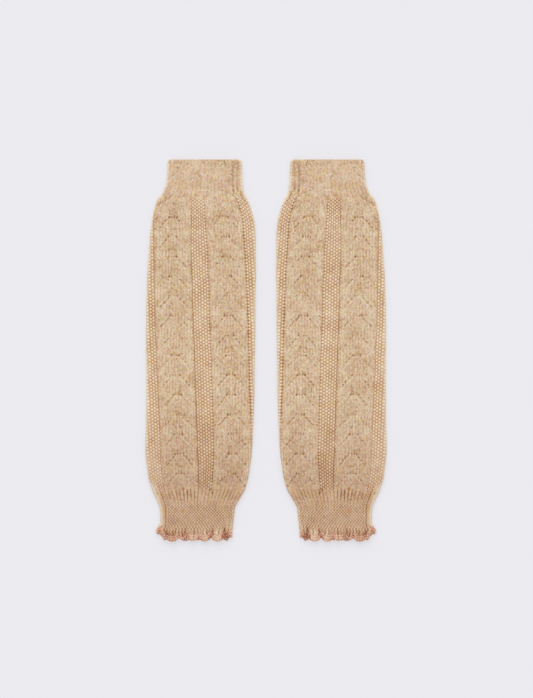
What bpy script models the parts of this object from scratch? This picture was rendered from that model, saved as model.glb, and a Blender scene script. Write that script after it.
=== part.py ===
"""A pair of knitted leg warmers, laid flat side by side with their top cuffs at +Y.

Each leg is a flattened tube in five pieces, top to bottom: top cuff, leg, ankle cuff, frill and
edging. Every piece is one closed wall between an outer skin, which carries the raised knitting,
and a plain inner skin. The two legs mirror each other in the plane X = 0. The back of each tube
lies flat on Z = 0.
"""

import math
from collections import namedtuple

import bmesh
import bpy

MM = 0.001

# Sizes in millimetres, until a point is placed.
LENGTH = 400.0
SEAM_GAP = 0.3
SLANTED_SEAM_GAP = 0.5
TOP_CUFF_LENGTH = 38.0
ANKLE_CUFF_START = 346.5
FRILL_START = 382.0

# One layer of knitting, and the height of the two layers as they lie.
RIB_WALL = 2.3
LEG_WALL = 2.4
FRILL_WALL = 2.0
CUFF_HEIGHT = 6.4
LEG_HEIGHT = 7.0
FRILL_HEIGHT = 5.4
HEIGHT_RISES_OVER = 30.0
ROUNDED_EDGE = 0.8
ROUNDED_OVER = 1.2

# The outline of the photo's left leg. Columns: distance from the top, then the distances from
# the mirror plane of the tube's inner edge, outer edge and middle seed-stitch column.
Section = namedtuple("Section", "from_top inner outer column")
SECTIONS = (
    Section(0, 26.0, 102.2, 71.5),
    Section(3, 24.8, 103.3, 71.5),
    Section(21, 24.1, 104.5, 71.5),
    Section(34, 22.5, 108.2, 71.3),
    Section(43, 18.7, 114.3, 71.0),
    Section(55, 14.4, 117.7, 70.7),
    Section(68, 11.5, 119.9, 70.4),
    Section(105, 10.5, 123.2, 69.2),
    Section(155, 11.0, 125.3, 67.6),
    Section(205, 11.5, 125.4, 66.0),
    Section(255, 12.4, 125.2, 64.3),
    Section(305, 14.6, 126.1, 62.8),
    Section(318, 15.7, 125.1, 62.6),
    Section(331, 17.8, 123.9, 62.8),
    Section(344, 21.3, 120.1, 63.5),
    Section(357, 28.5, 114.2, 66.0),
    Section(364, 32.2, 111.6, 68.0),
    Section(376, 33.6, 110.7, 70.0),
    Section(382, 34.3, 111.8, 71.0),
    Section(388, 34.8, 115.2, 72.0),
    Section(392, 35.0, 114.2, 72.0),
    Section(400, 35.0, 113.4, 72.0),
)

# Knitting round the leg: 76 stitches, in four seed-stitch columns with a lace panel after each.
STITCHES_ACROSS = 38
REPEAT = 19
COLUMN_HALF = 3.0
COLUMN_RISE = 0.5
COLUMN_GROOVE = 0.5
GROOVE_HALF = 0.6
PANEL_PUFF = 0.4

# One arch of lace: its top is level, and its arms run down to both sides.
ARCHES = 14
FIRST_ARCH = 60.5
ARCH_PITCH = 20.6
ARCH_TOP_HALF = 1.1
ARCH_ARM_END = 3.7
ARCH_DROP = 10.0
ARCH_RELIEF = 0.4
ARCH_RIDGE_BELOW = 4.5
ARCH_PLAIN_BELOW = 12.0
DROP_GROWS = (40.0, 60.0)
DROP_FADES = (322.0, 345.0)

# Rows of points above the first arch and below the last one.
ROWS_ABOVE = (38.3, 41.0, 45.0, 50.0, 55.0)
ROWS_BELOW = (337.0, 341.0, 346.2)
INNER_LEVELS = (38.3, 45.0, 55.0, 75.0, 120.0, 220.0, 305.0, 325.0, 337.0, 346.2)

# Where the leg is drawn in to a cuff its columns stand up and sink by turns.
GATHER_DEPTH = 0.4
TOP_GATHER_ENDS = 50.0
ANKLE_GATHER_STARTS = 332.0
COLUMNS_START = (38.0, 46.0)
COLUMNS_END = (336.0, 346.0)

# 1x1 rib of the cuffs.
TOP_RIBS = 24
ANKLE_RIBS = 26
RIB_RELIEF = 0.45
ANKLE_CUFF_LEVELS = (346.5, 351.0, 357.0, 364.0, 373.0, 381.7)

# The largest folds of the front, as troughs. Columns: distance from the top and from the mirror
# plane of each end, depth, and half width.
Fold = namedtuple("Fold", "top_start across_start top_end across_end depth half_width")
FOLDS = (
    Fold(39.0, 99.0, 48.0, 113.0, 0.8, 4.0),
    Fold(3.0, 34.5, 33.0, 34.5, 0.5, 1.3),
    Fold(3.0, 29.8, 33.0, 29.8, 0.5, 1.3),
)

# Stretches of the ankle cuff whose ribs are drawn up into deeper gathers, down to a level.
# Columns: the middle from the mirror plane, half width, and how much deeper the ribs are.
Gathers = namedtuple("Gathers", "across half_width deeper")
ANKLE_GATHERS = (
    Gathers(40.0, 6.0, 0.5),
    Gathers(81.5, 13.0, 0.9),
)
ANKLE_GATHERS_END = 362.0
FULL_GATHER_SHARE = 0.6

# Waves of the frill, inner edge to outer edge. Columns: the wave's middle from the mirror plane,
# its half width, and how far its tip reaches from the top.
Wave = namedtuple("Wave", "across half_width reach")
WAVES = (
    Wave(40.5, 4.0, 397.5),
    Wave(51.0, 6.5, 399.5),
    Wave(64.5, 5.5, 400.0),
    Wave(77.0, 6.5, 399.0),
    Wave(88.5, 4.5, 397.5),
    Wave(99.0, 6.0, 400.0),
    Wave(109.0, 4.0, 399.0),
)
WAVE_SHARES = (-0.85, -0.5, 0.0, 0.5, 0.85)
WAVE_LIFT = 2.2
VALLEY_REACH = 395.5
EDGING_START = 389.5
EDGING_SCALLOP = 2.5
WAVE_FADES_OVER = 4.0
OUTER_LAP = 9.0
OUTER_EDGING_START = 383.8
OUTER_REACH = 391.5
INNER_REACH = 395.0

YARN = (0.60, 0.43, 0.28, 1.0)
EDGING_YARN = (0.57, 0.30, 0.21, 1.0)
WOOL_ROUGHNESS = 0.9

# Lines of points round a fold and across the back, and how near the first of a fold's lines
# may come to the front's last one, as a share of the way to the back.
SIDE_STEPS = 6
BACK_STEPS = 3
LEAST_BEND_SHARE = 0.15
CLEAR_OF_FOLD = 1.0
CREASE_ANGLE = math.radians(50)


def clear_scene():
    for item in list(bpy.data.objects):
        bpy.data.objects.remove(item, do_unlink=True)


def ramp(start, end, at):
    """A smooth rise from 0 at start to 1 at end."""
    t = min(max((at - start) / (end - start), 0.0), 1.0)
    return t * t * (3.0 - 2.0 * t)


def slope_at(levels, values, i):
    """The slope of a curve through the rows that never overshoots them."""
    if i in (0, len(levels) - 1):
        return 0.0
    before = (values[i] - values[i - 1]) / (levels[i] - levels[i - 1])
    after = (values[i + 1] - values[i]) / (levels[i + 1] - levels[i])
    return 0.0 if before * after <= 0 else 2 * before * after / (before + after)


def section_value(column, level):
    """A named column of SECTIONS at any level, on a smooth curve through its rows."""
    levels = [row.from_top for row in SECTIONS]
    values = [getattr(row, column) for row in SECTIONS]
    level = min(max(level, levels[0]), levels[-1])
    i = max(k for k in range(len(levels) - 1) if levels[k] <= level)
    gap = levels[i + 1] - levels[i]
    t = (level - levels[i]) / gap
    rise = values[i + 1] - values[i]
    start = slope_at(levels, values, i) * gap
    end = slope_at(levels, values, i + 1) * gap
    curve = t * t * (3 - 2 * t) * rise
    return values[i] + curve + t * (1 - t) * ((1 - t) * start - t * end)


def lying_height(level):
    """Height of the two layers at a level, between the cuffs' and the leg's."""
    from_cuff = min(level - TOP_CUFF_LENGTH, ANKLE_CUFF_START - level)
    full = CUFF_HEIGHT + (LEG_HEIGHT - CUFF_HEIGHT) * ramp(0, HEIGHT_RISES_OVER, from_cuff)
    return full + (FRILL_HEIGHT - full) * ramp(FRILL_START - 12.0, FRILL_START, level)


class Ring:
    """The flattened tube's cross-section at one level.

    A place on it is its distance round from the middle of the front. Positive is towards the
    outer edge. The front and half of both folds are within +-edge, and the back is past that.
    """

    def __init__(self, level):
        inner = section_value("inner", level)
        outer = section_value("outer", level)
        self.level = level
        self.middle = (inner + outer) / 2
        self.width = outer - inner
        self.radius = lying_height(level) / 2
        self.flat = self.width / 2 - self.radius
        self.edge = self.flat + 2 * self.radius
        self.pitch = self.width / STITCHES_ACROSS
        self.shift = section_value("column", level) - self.middle

    def turn(self, place):
        """How far round a fold: 0 on the front, pi on the back."""
        past = abs(place) - self.flat
        return min(max(past / (2 * self.radius), 0.0), 1.0) * math.pi

    def point(self, place, inset, lift):
        """(distance from the mirror plane, height) of a place, inset into the wall or raised."""
        angle = self.turn(place)
        side = math.copysign(1.0, place)
        reach = self.radius - inset
        across = side * (min(abs(place), self.flat) + reach * math.sin(angle))
        if abs(place) > self.edge:
            across = side * (self.flat + self.edge - abs(place))
        on_front = (1 + math.cos(angle)) / 2
        return self.middle + across, self.radius + reach * math.cos(angle) + lift * on_front

    def stitch(self, place):
        """The place in stitches from the middle column."""
        return (place - self.shift) / self.pitch


def fold_depth(across, level):
    """How far the named folds press the front in at a point."""
    depth = 0.0
    for fold in FOLDS:
        run = fold.across_end - fold.across_start
        drop = fold.top_end - fold.top_start
        along = (across - fold.across_start) * run + (level - fold.top_start) * drop
        t = min(max(along / (run * run + drop * drop), 0.0), 1.0)
        aside = across - fold.across_start - t * run
        below = level - fold.top_start - t * drop
        depth += fold.depth * math.exp(-(aside**2 + below**2) / fold.half_width**2)
    return depth


def back_places(ring):
    """Places across the back, between the ends of the two folds."""
    span = 2 * ring.flat
    return [ring.edge + span * k / (BACK_STEPS + 1) for k in range(1, BACK_STEPS + 1)]


def skin_point(ring, place, relief, inset, lift):
    """A point of one skin, in millimetres: across, distance from the top, height."""
    across, height = ring.point(place, inset - relief * (1 + math.cos(ring.turn(place))) / 2, lift)
    return across, ring.level, height


def leg_stitch_columns():
    """The lines of points up the front, in stitches from the middle column."""
    half_panel = [COLUMN_HALF + GROOVE_HALF]
    middle = REPEAT / 2
    half_panel += [middle - ARCH_ARM_END, middle - ARCH_TOP_HALF]
    panel = half_panel + [REPEAT - stitch for stitch in reversed(half_panel)]
    outer = [COLUMN_HALF - GROOVE_HALF, COLUMN_HALF] + panel + [REPEAT - COLUMN_HALF]
    return [-stitch for stitch in reversed(outer)] + [0.0] + outer


def leg_places(ring):
    """Places of the leg's lines of points at one level, round the whole tube."""
    front = [ring.shift + stitch * ring.pitch for stitch in leg_stitch_columns()]
    right = side_places(ring, front[-1] + GROOVE_HALF * ring.pitch)
    left = side_places(ring, -front[0] + GROOVE_HALF * ring.pitch)
    return [-place for place in reversed(left)] + front + right + back_places(ring)


def side_places(ring, first):
    """Places from the front's last line round the fold to where the back begins."""
    bend = max(ring.flat, first + LEAST_BEND_SHARE * (ring.edge - first))
    steps = [bend + (ring.edge - bend) * k / SIDE_STEPS for k in range(SIDE_STEPS + 1)]
    return [first] + steps


def from_column(stitch):
    """Stitches from the nearest seed-stitch column's middle."""
    return abs((stitch + REPEAT / 2) % REPEAT - REPEAT / 2)


def leg_relief(stitch, level, arch_rise):
    """Height of the knitting over the wall's plain face."""
    aside = from_column(stitch)
    columns = ramp(*COLUMNS_START, level) * (1 - ramp(*COLUMNS_END, level))
    if aside < COLUMN_HALF - GROOVE_HALF / 2:
        return COLUMN_RISE * columns
    if aside < COLUMN_HALF + GROOVE_HALF / 2:
        return -COLUMN_GROOVE * columns
    from_middle = REPEAT / 2 - aside
    edge = REPEAT / 2 - COLUMN_HALF - GROOVE_HALF
    puff = PANEL_PUFF * (1 - (from_middle / edge) ** 2)
    return puff + arch_rise * (1 - ramp(ARCH_ARM_END, edge, from_middle))


def arch_drop(stitch, level):
    """How far below its own level a row of points lies, where it follows an arch's arms."""
    from_middle = REPEAT / 2 - from_column(stitch)
    if from_middle <= ARCH_TOP_HALF or from_column(stitch) < COLUMN_HALF + GROOVE_HALF / 2:
        return 0.0
    down = (from_middle - ARCH_TOP_HALF) / (ARCH_ARM_END - ARCH_TOP_HALF)
    past_the_arm = from_middle > ARCH_ARM_END + GROOVE_HALF
    share = 0.0 if past_the_arm else down
    return ARCH_DROP * share * ramp(*DROP_GROWS, level) * (1 - ramp(*DROP_FADES, level))


def gather(index, level):
    """Columns stand up and sink by turns where the leg is drawn in."""
    near_top = 1 - ramp(TOP_CUFF_LENGTH, TOP_GATHER_ENDS, level)
    near_ankle = ramp(ANKLE_GATHER_STARTS, ANKLE_CUFF_START, level)
    return GATHER_DEPTH * (near_top + near_ankle) * (-1) ** index


def leg_rows():
    """(level, arch rise) of each row of points down the leg."""
    rows = [(level, 0.0) for level in ROWS_ABOVE]
    for k in range(ARCHES):
        top = FIRST_ARCH + k * ARCH_PITCH
        rows.append((top, -ARCH_RELIEF))
        rows.append((top + ARCH_RIDGE_BELOW, ARCH_RELIEF))
        rows.append((top + ARCH_PLAIN_BELOW, 0.0))
    rows.pop()
    return rows + [(level, 0.0) for level in ROWS_BELOW]


def leg_outer_row(level, arch_rise):
    row = Ring(level)
    points = []
    for index, place in enumerate(leg_places(row)):
        stitch = row.stitch(place)
        relief = leg_relief(stitch, level, arch_rise) + gather(index, level)
        if abs(place) < row.flat:
            ring = Ring(level + arch_drop(stitch, level))
            place = ring.shift + stitch * ring.pitch
            relief -= fold_depth(ring.middle + place, ring.level)
            points.append(skin_point(ring, place, relief, 0.0, 0.0))
        else:
            points.append(skin_point(row, place, relief, 0.0, 0.0))
    return points


def leg_inner_row(level):
    ring = Ring(level)
    return [skin_point(ring, place, 0.0, LEG_WALL, 0.0) for place in leg_places(ring)]


def leg_skins():
    outer = [leg_outer_row(level, arch_rise) for level, arch_rise in leg_rows()]
    return outer, [leg_inner_row(level) for level in INNER_LEVELS]


def gathered(across, level):
    """How many times deeper than plain rib the cuff's furrows are at a point."""
    at_level = 1 - ramp(ANKLE_CUFF_START, ANKLE_GATHERS_END, level)
    if level <= TOP_CUFF_LENGTH:
        at_level = 0.0
    deeper = sum(
        row.deeper * (1 - ramp(FULL_GATHER_SHARE, 1.0, abs(across - row.across) / row.half_width))
        for row in ANKLE_GATHERS
    )
    return 1 + deeper * at_level


def rib_places(ring, ribs):
    """Places of a cuff's ridges and furrows by turns, and of its plain back."""
    steps = 2 * ribs
    front = [-ring.edge + 2 * ring.edge * k / steps for k in range(steps + 1)]
    return front + back_places(ring)


def cuff_outer_row(level, ribs, rib_relief, tuck):
    ring = Ring(level)
    points = []
    for index, place in enumerate(rib_places(ring, ribs)):
        across = ring.middle + place
        relief = rib_relief * gathered(across, level) * (-1) ** index
        relief -= fold_depth(across, level)
        points.append(skin_point(ring, place, relief, tuck, 0.0))
    return points


def cuff_inner_row(level, ribs):
    ring = Ring(level)
    return [skin_point(ring, place, 0.0, RIB_WALL, 0.0) for place in rib_places(ring, ribs)]


def cuff_skins(rows, ribs):
    """rows: (level, rib relief, how far the edge is tucked in)."""
    outer = [cuff_outer_row(level, ribs, relief, tuck) for level, relief, tuck in rows]
    inner_levels = (rows[0][0], rows[len(rows) // 2][0], rows[-1][0])
    return outer, [cuff_inner_row(level, ribs) for level in inner_levels]


def top_cuff_skins():
    rows = (
        (0.0, 0.0, ROUNDED_EDGE),
        (ROUNDED_OVER, RIB_RELIEF / 2, 0.0),
        (5.0, RIB_RELIEF, 0.0),
        (20.0, RIB_RELIEF, 0.0),
        (TOP_CUFF_LENGTH, RIB_RELIEF, 0.0),
    )
    return cuff_skins(rows, TOP_RIBS)


def ankle_cuff_skins():
    rows = tuple((level, RIB_RELIEF, 0.0) for level in ANKLE_CUFF_LEVELS)
    return cuff_skins(rows, ANKLE_RIBS)


def wave_rise(across):
    """0 in the valleys between waves, 1 on a wave's crest, and how far the tip reaches there."""
    rise = 0.0
    reach = VALLEY_REACH
    for wave in WAVES:
        share = abs(across - wave.across) / wave.half_width
        if share < 1.0:
            rise = math.cos(share * math.pi / 2)
            reach = VALLEY_REACH + (wave.reach - VALLEY_REACH) * math.sqrt(rise)
    return rise, reach


def wave_columns():
    """Where the waves' crests, flanks and valleys lie, as distances from the mirror plane."""
    columns = []
    for wave, following in zip(WAVES, WAVES[1:] + (None,)):
        columns += [wave.across + share * wave.half_width for share in WAVE_SHARES]
        if following:
            end = wave.across + wave.half_width
            columns.append((end + following.across - following.half_width) / 2)
    return columns


def frill_places():
    """Places of the frill's lines of points: waves on the front, the folds, and the back."""
    ring = Ring(EDGING_START)
    front = [across - ring.middle for across in wave_columns()]
    front = [place for place in front if abs(place) < ring.flat - CLEAR_OF_FOLD]
    span = ring.edge - ring.flat
    fold = [ring.flat + span * k / SIDE_STEPS for k in range(SIDE_STEPS + 1)]
    back = [ring.edge + ring.flat - place for place in reversed(front)]
    return [-place for place in reversed(fold)] + front + fold + back


def frill_spot(place):
    """A place's wave and seam; the waves of the back run the other way round."""
    last = Ring(EDGING_START)
    on_back = place > last.edge
    place = last.edge + last.flat - place if on_back else place
    within = max(-last.flat, min(last.flat, place))
    rise, reach = wave_rise(last.middle + (-within if on_back else within))
    rise *= 1 - ramp(last.flat - WAVE_FADES_OVER, last.flat, abs(place))
    lap = ramp(last.flat - OUTER_LAP, last.flat, place)
    inner_lap = ramp(last.flat - OUTER_LAP / 2, last.flat, -place)
    start = EDGING_START + EDGING_SCALLOP * rise
    start += (OUTER_EDGING_START - start) * lap
    reach += (OUTER_REACH - reach) * lap + (INNER_REACH - reach) * inner_lap
    return rise, start, reach


def frill_point(place, share, starts, inset, tuck):
    """A point of the frill or its edging, a share of the way down the piece."""
    rise, edging_start, reach = frill_spot(place)
    top, end = starts(edging_start, reach)
    level = top + (end - top) * share
    ring = Ring(level)
    last = Ring(EDGING_START)
    if place > last.edge:
        here = ring.edge + (place - last.edge) * ring.flat / last.flat
    elif abs(place) > last.flat:
        here = math.copysign(ring.flat + abs(place) - last.flat, place)
    else:
        here = place * ring.flat / last.flat
    here = max(-ring.edge, here)
    lift = WAVE_LIFT * rise * ramp(FRILL_START, EDGING_START + EDGING_SCALLOP, level)
    return skin_point(ring, here, 0.0, inset + tuck, lift if abs(place) < last.flat else 0.0)


def frill_starts(edging_start, _reach):
    return FRILL_START, edging_start - SLANTED_SEAM_GAP


def edging_starts(edging_start, reach):
    return edging_start, reach


def frill_skins(starts, shares):
    """shares: (share of the way down, how far the edge is tucked in)."""
    places = frill_places()
    outer = [[frill_point(p, share, starts, 0.0, tuck) for p in places] for share, tuck in shares]
    inner = [[frill_point(p, share, starts, FRILL_WALL, 0.0) for p in places] for share in (0, 1)]
    return outer, inner


def strip(mesh, upper, lower):
    """Faces between two rings of vertices, one below the other."""
    count = len(upper)
    for k in range(count):
        following = (k + 1) % count
        mesh.faces.new((upper[k], lower[k], lower[following], upper[following]))


def tube(name, skins, side, material):
    """One piece: the outer skin, the inner skin, and the two ends that close the wall."""
    mesh = bmesh.new()
    rings = []
    for skin in skins:
        rings.append([])
        for row in skin:
            placed = [(side * x * MM, (LENGTH / 2 - y) * MM, z * MM) for x, y, z in row]
            rings[-1].append([mesh.verts.new(point) for point in placed])
    outer, inner = rings
    for upper, lower in zip(outer, outer[1:]):
        strip(mesh, upper, lower)
    for upper, lower in zip(inner, inner[1:]):
        strip(mesh, lower, upper)
    strip(mesh, inner[0], outer[0])
    strip(mesh, outer[-1], inner[-1])
    bmesh.ops.triangulate(mesh, faces=mesh.faces[:])
    bmesh.ops.recalc_face_normals(mesh, faces=mesh.faces[:])
    data = bpy.data.meshes.new(name)
    mesh.to_mesh(data)
    mesh.free()
    data.materials.append(material)
    data.shade_smooth()
    data.set_sharp_from_angle(angle=CREASE_ANGLE)
    piece = bpy.data.objects.new(name, data)
    bpy.context.scene.collection.objects.link(piece)
    return piece


def wool(name, colour):
    material = bpy.data.materials.new(name)
    material.use_nodes = True
    shader = material.node_tree.nodes["Principled BSDF"]
    shader.inputs["Base Color"].default_value = colour
    shader.inputs["Roughness"].default_value = WOOL_ROUGHNESS
    shader.inputs["Metallic"].default_value = 0.0
    return material


def main():
    clear_scene()
    edging_shares = ((0.0, 0.0), (0.75, 0.0), (1.0, ROUNDED_EDGE))
    pieces = {
        "top_cuff": (top_cuff_skins(), YARN),
        "leg": (leg_skins(), YARN),
        "ankle_cuff": (ankle_cuff_skins(), YARN),
        "frill": (frill_skins(frill_starts, ((0.0, 0.0), (1.0, 0.0))), YARN),
        "edging": (frill_skins(edging_starts, edging_shares), EDGING_YARN),
    }
    for side_name, side in (("left", -1), ("right", 1)):
        for piece_name, (skins, colour) in pieces.items():
            name = f"{piece_name}_{side_name}"
            tube(name, skins, side, wool(f"{name}_wool", colour))


main()
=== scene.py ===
"""The looks of a pair of knitted leg warmers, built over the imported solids.

Each leg is five shells of knitting, top cuff, leg, ankle cuff, frill and edging, with short stray
fibres on them. A shell is a closed wall whose outer skin carries every stitch as relief, and the
right leg is the left one mirrored. Lengths are in millimetres until a point is placed. Two maps on
each shell count stitches and ribs, and the wool's yarns are drawn on them.
"""

from collections import namedtuple

import bpy
import numpy as np
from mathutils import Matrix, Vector


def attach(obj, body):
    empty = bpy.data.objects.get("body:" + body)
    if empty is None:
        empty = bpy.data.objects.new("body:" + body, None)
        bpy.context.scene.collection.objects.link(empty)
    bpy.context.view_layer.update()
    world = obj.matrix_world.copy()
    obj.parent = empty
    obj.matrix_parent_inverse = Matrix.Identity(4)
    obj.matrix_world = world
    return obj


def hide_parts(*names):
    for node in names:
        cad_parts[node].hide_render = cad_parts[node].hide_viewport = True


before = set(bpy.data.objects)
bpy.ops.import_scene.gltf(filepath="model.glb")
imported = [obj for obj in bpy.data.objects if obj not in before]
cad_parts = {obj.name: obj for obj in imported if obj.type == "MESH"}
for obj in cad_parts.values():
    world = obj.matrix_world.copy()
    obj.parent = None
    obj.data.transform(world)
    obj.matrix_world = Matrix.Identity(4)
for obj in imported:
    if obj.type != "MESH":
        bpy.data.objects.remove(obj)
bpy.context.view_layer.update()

MM = 0.001

# The tube's pieces, as distances from the top.
LENGTH = 400.0
TOP_CUFF_END = 38.0
ANKLE_START = 346.5
FRILL_START = 382.0
FRILL_END = 390.5
EDGING_END = 399.0
SHORTEST_SHEET = 10.0
SHEET_STEPS = 200

# One layer of knitting, and the height of the two layers as they lie.
RIB_WALL = 2.3
LEG_WALL = 2.4
FRILL_WALL = 2.0
CUFF_HEIGHT = 6.4
LEG_HEIGHT = 7.0
FRILL_HEIGHT = 5.4
HEIGHT_RISES_OVER = 30.0
FRILL_THINS_OVER = 12.0
CROWN = 0.8

# The outline of the photo's left leg. Columns: distance from the top, then the distances from
# the mirror plane of the tube's inner edge, outer edge and middle seed-stitch column.
INNER, OUTER, COLUMN = 1, 2, 3
SECTIONS = (
    (0, 26, 102.2, 71.5),
    (3, 24.8, 103.3, 71.5),
    (21, 24.1, 104.5, 71.5),
    (34, 22.5, 108.2, 71.3),
    (43, 18.7, 114.3, 71),
    (55, 14.4, 117.7, 70.7),
    (68, 11.5, 119.9, 70.4),
    (105, 10.5, 123.2, 69.2),
    (155, 11, 125.3, 67.6),
    (205, 11.5, 125.4, 66),
    (255, 12.4, 125.2, 64.3),
    (305, 14.6, 126.1, 62.8),
    (318, 15.7, 125.1, 62.6),
    (331, 17.8, 123.9, 62.8),
    (344, 21.3, 120.1, 63.5),
    (357, 28.5, 114.2, 66),
    (364, 32.2, 111.6, 68),
    (376, 33.6, 110.7, 70),
    (382, 34.3, 111.8, 71),
    (388, 34.8, 115.2, 72),
    (392, 35, 114.2, 72),
    (400, 35, 113.4, 72),
)

# Knitting round the leg: 76 stitches, in four seed-stitch columns with a lace panel after each.
# The columns lie a little drawn in, more so near both cuffs.
STITCHES_ACROSS = 38
FRONT_STITCHES = (-22, 21.5)
REPEAT = 19
COLUMN_HALF = 3.0
COLUMN_DRAWN_IN = 0.97
ENDS_DRAWN_IN = 0.84
COLUMNS_WIDEN = (55, 100)
COLUMNS_NARROW = (300, 340)
COURSE = 20.6 / 12
STITCH = 2.9
COLUMNS_START = (36, 39)
COLUMNS_END = (343.5, 346.3)
BEADS_START = (37.5, 42)
LOW_BEADS = (260, 320)
LOW_MIDDLE_BEADS = -0.35
LOW_OUTER_BEADS = 0.4
RIBS_FADE_BELOW = (38, 46)
RIBS_GROW_ABOVE = (339.5, 345.5)

# Unevenness of the leg: how far the lines of stitches wander, in stitches, and how far the cloth
# puffs up between two levels.
WANDER = 0.12
UNEVEN_LIFT = 0.35
UNEVEN_STARTS = (38, 52)
UNEVEN_ENDS = (334, 346.5)

# The wool round the side folds, with a painted highlight and a smoother look there, and the levels
# over which it grows darker and redder towards the ankle and loses the paler look of the top cuff.
PAINTED_EDGE_HIGHLIGHT = 1.5
EDGE_SMOOTHER = 0.5
ANKLE_TINT_GROWS = (225, 362)
CUFF_TINT_FADES = (20, 60)
SPOT_DEPTH = 0.4

# Relief of the stitches. PEAK is the usual peak, which the outline is drawn to.
PEAK = 0.7
HIGHEST = 1.4
DEEPEST = -1.5
BEAD_RISE = 0.75
BEAD_GAP = 0.35
BEAD_REACH = 1.9
GROOVE_DEPTH = 0.6
GROOVE_HALF = 0.35
# Painted shade in the grooves beside the columns.
GROOVE_SHADE = 1.6
INWARD_GROOVE = 0.6
WALE_RISE = 0.24
COURSE_RISE = 0.07

# The lace: an arch every twelve courses, drawn by small holes. A row of them crosses the arch's
# top, and its arms run down and apart from there. A small roof stands over it.
ARCHES = 14
FIRST_ARCH = 60.5
ARCH_COURSES = 12
ARM_START = 1.3
ARM_SLOPE = 0.49
ARM_COURSES = 7.0
ARM_HALF = 0.3
ARM_WANDERS = 0.25
HOLE_DEPTH = 1.0
HOLE_SHADE = 1.7
TOP_HOLES = 1.1
TOP_HOLE_STEP = 0.95
ROOF_ABOVE = 4.4
ROOF_HALF = 1.15
LACE_STARTS = (50, 58)
LACE_ENDS = (336, 343)

# Ribs of the cuffs, all round.
TOP_RIBS = 44
ANKLE_RIBS = 50
RIB_COURSE = 1.7
RIB_RISE = 0.36
RIB_FAINT = 0.3
RIB_FAINT_AT = 12.0
# The first row's dips, a little below the top, and the painted shade in them.
FIRST_ROW = 4.6
FIRST_ROW_DEPTH = 0.2
FIRST_ROW_SHADE = 0.5
# Stronger painted shade and highlight on the ankle's ribs.
ANKLE_DARKER_RIBS = 0.4
ANKLE_DOTS_START = (352, 362)
DOT_SHARE = 0.7
RIDGE_SHARE = 0.64

# The slant of the yarns across a stitch, and how round they look.
YARN_SLANT = 0.6
YARN_ROUND = 0.85

# Folds, creases and slits of the front. Columns: distance from the top and from the mirror plane
# of each end, depth, half width, and how much painted shade lies in the furrow.
FOLDS = (
    (38.5, 99.5, 48, 113.5, 0.6, 0.9, 0.8),
    (40, 103, 46, 110, 0.4, 4.5, 0),
    (3, 34.5, 33, 34.3, 0.6, 0.9, 0.7),
    (3, 29.8, 31, 29.8, 0.6, 0.9, 0.7),
    (31, 29.8, 42.5, 23, 0.5, 1, 0.6),
    (33, 34.3, 41, 30.5, 0.4, 1, 0.4),
    (6.8, 70, 19, 70, 0.4, 0.5, 0.9),
    (1, 43.8, 6.5, 42.2, 0.5, 0.7, 0.7),
    (1.5, 52, 2.2, 45.5, 0.4, 0.7, 0.5),
    (41, 91, 52, 96, 0.4, 2, 0.15),
    (42, 52, 58, 47, 0.35, 2.5, 0.1),
    (322, 118.5, 344, 108, 0.5, 2.2, 0.2),
    (326, 24, 350, 36, 0.5, 2, 0.25),
    (334, 30, 352, 42, 0.35, 1.6, 0.15),
    (336, 96, 352, 91, 0.4, 1.6, 0.2),
    (391.5, 87.4, 395, 87.2, 0.6, 0.9, 0.9),
    (386, 87.8, 392, 87.4, 0.4, 0.9, 0.5),
    (389, 74, 391.5, 73, 0.4, 1.2, 0.8),
    (385, 75.5, 390, 73.8, 0.3, 0.8, 0.5),
    (393.5, 58.6, 396.5, 58.4, 0.6, 0.9, 1),
    (386.5, 54.2, 395, 52.6, 0.5, 0.9, 0.8),
    (384.5, 47, 391, 49, 0.3, 0.8, 0.5),
    (384.8, 43.4, 388, 42.4, 0.6, 1.1, 1),
    (390, 42.4, 396, 43.6, 0.6, 1, 1),
    (385, 37.5, 393, 38.6, 0.3, 0.7, 0.6),
)

# Small dark or golden spots. Columns: distance from the top and from the mirror plane, half
# width, how dark, and how golden.
SPOTS = (
    (18.8, 67.9, 1, 0.2, 1.3),
    (343.8, 86.2, 1.5, 1.2, 1.3),
    (346.8, 81.5, 1, 1.5, 0),
    (350, 80.5, 1, 1.2, 0),
    (345.2, 58.5, 1.2, 2, 0),
    (348.4, 56, 1.1, 1.9, 0),
    (367.3, 86.7, 1.6, 0.2, 1.3),
    (341, 22.5, 1.3, 1.6, 0.4),
)

# Stretches of the ankle cuff whose ribs are drawn up into deeper gathers, down to a level.
# Columns: the middle from the mirror plane, half width, and how much deeper the ribs are.
ANKLE_GATHERS = (
    (40, 6, 0.5),
    (81.5, 13, 1.1),
)
GATHERS_START = (342, 346.5)
GATHERS_END = (350.5, 362)

# The seam: a smooth pale strip down the outer edge of the ankle, with a ladder between two dark
# lines on its inner side. It runs this far inside the edge at these distances from the top.
SEAM_LEVELS = (330, 349, 361, 375, 383, 389)
SEAM_INSIDE = (10, 8.4, 7.2, 6.2, 7, 10)
SEAM_STARTS = (334, 346)
SEAM_STITCH = 1.75
SEAM_WIDE = 2.4

# Waves of the frill, inner edge to outer edge. Columns: the wave's middle from the mirror plane,
# its half width, how far its tip reaches from the top, and how pale its edging is.
WAVES = (
    (40.5, 4, 396.8, -0.3),
    (51, 6.5, 398.6, -0.1),
    (64.5, 6, 399, 0.4),
    (77, 6.3, 398.3, 0.6),
    (88.5, 4.5, 396.8, 0),
    (99, 6.5, 399.2, 0),
    (109, 4.5, 398.5, -0.2),
)
WAVE_LIFT = 2.6
VALLEY_REACH = 394.0
TIP_ROUNDNESS = 0.35
EDGING_START = 389.5
EDGING_SCALLOP = 2.5
WAVE_FADES_OVER = 4.0
OUTER_LAP = 6.0
INNER_VALLEYS_RISE = 3.5
INNER_VALLEYS = (62, 50)
OUTER_EDGING_START = 382.8
OUTER_REACH = 391.5
INNER_REACH = 395.0

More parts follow.
